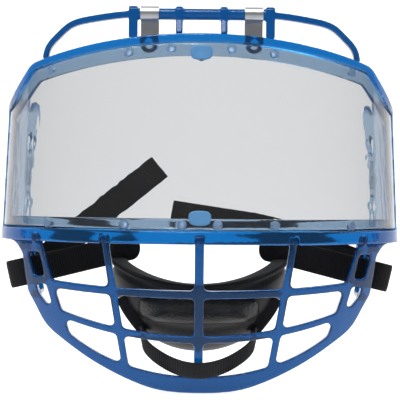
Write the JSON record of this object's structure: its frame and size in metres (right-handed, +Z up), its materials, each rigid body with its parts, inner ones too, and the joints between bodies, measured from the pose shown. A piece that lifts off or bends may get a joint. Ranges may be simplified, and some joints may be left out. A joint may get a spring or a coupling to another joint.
{
  "type": "hybrid face mask for an ice-hockey helmet",
  "caption": "Hybrid hockey face mask: clear wrap-round lens in a translucent blue frame, moulded chin cage, brow guard with steel clips, and a chin cup on webbing.",
  "frame": {"origin": "middle of the brow bar, on its axis", "axes": "+Z up, -Y the way the wearer looks, +X the right-hand side for someone facing the mask"},
  "size_m": [0.2278, 0.1399, 0.2019],
  "materials": {
    "frame_blue": "moulded translucent blue polycarbonate, glossy",
    "cage_blue": "moulded translucent blue polycarbonate, glossy",
    "lens_clear": "clear optical polycarbonate",
    "stud_clear": "moulded plastic snap studs",
    "lock_plastic": "moulded plastic quarter-turn lock",
    "clip_steel": "pressed and plated spring steel",
    "label_white": "blank printed film",
    "cup_black": "moulded shell with a leather grain",
    "foam_black": "soft closed-cell foam liner",
    "binding_black": "sewn edge binding",
    "webbing_black": "ribbed polypropylene webbing",
    "hook_black": "hook-and-loop patch"
  },
  "bodies": {
    "mask": {"visor_frame": "frame_blue", "brow_guard": "frame_blue", "chin_cage": "cage_blue", "lens": "lens_clear", "lens_studs_top": "stud_clear", "lens_studs_bottom": "stud_clear", "blank_label_left": "label_white", "blank_label_right": "label_white", "chin_strap_left": "webbing_black", "chin_strap_right": "webbing_black", "strap_tail_left": "webbing_black", "strap_tail_right": "webbing_black", "hook_patch_left": "hook_black", "hook_patch_right": "hook_black"},
    "clip_left": {"brow_clip_left": "clip_steel"},
    "clip_right": {"brow_clip_right": "clip_steel"},
    "lock_top": {"lens_lock_top": "lock_plastic", "lock_keeper_top": "lock_plastic"},
    "lock_bottom": {"lens_lock_bottom": "lock_plastic", "lock_keeper_bottom": "lock_plastic"},
    "chin_cup": {"cup_shell": "cup_black", "cup_liner": "foam_black", "cup_edge_binding": "binding_black", "cup_front_pad": "cup_black", "cup_snaps": "cup_black", "lower_strap": "webbing_black"}
  },
  "joints": [
    {"name": "clip_swing_left", "type": "hinge", "parent": "mask", "child": "clip_left", "pos_m": [-0.027, 0, 0], "axis": [1, 0, 0], "range_deg": [0, 110]},
    {"name": "clip_swing_right", "type": "hinge", "parent": "mask", "child": "clip_right", "pos_m": [0.027, 0, 0], "axis": [1, 0, 0], "range_deg": [0, 110]},
    {"name": "lock_turn_top", "type": "hinge", "parent": "mask", "child": "lock_top", "pos_m": [0, -0.00483, -0.0209], "axis": [0, -0.9963, 0.0854], "range_deg": [0, 90]},
    {"name": "lock_turn_bottom", "type": "hinge", "parent": "mask", "child": "lock_bottom", "pos_m": [0, -0.0121, -0.1057], "axis": [0, -0.9963, 0.0854], "range_deg": [0, 90]},
    {"name": "chin_cup_tilt", "type": "hinge", "parent": "mask", "child": "chin_cup", "pos_m": [0, 0.059, -0.128], "axis": [1, 0, 0], "range_deg": [-10, 4], "deforming": ["lower_strap", "chin_strap_left", "chin_strap_right"]}
  ]
}
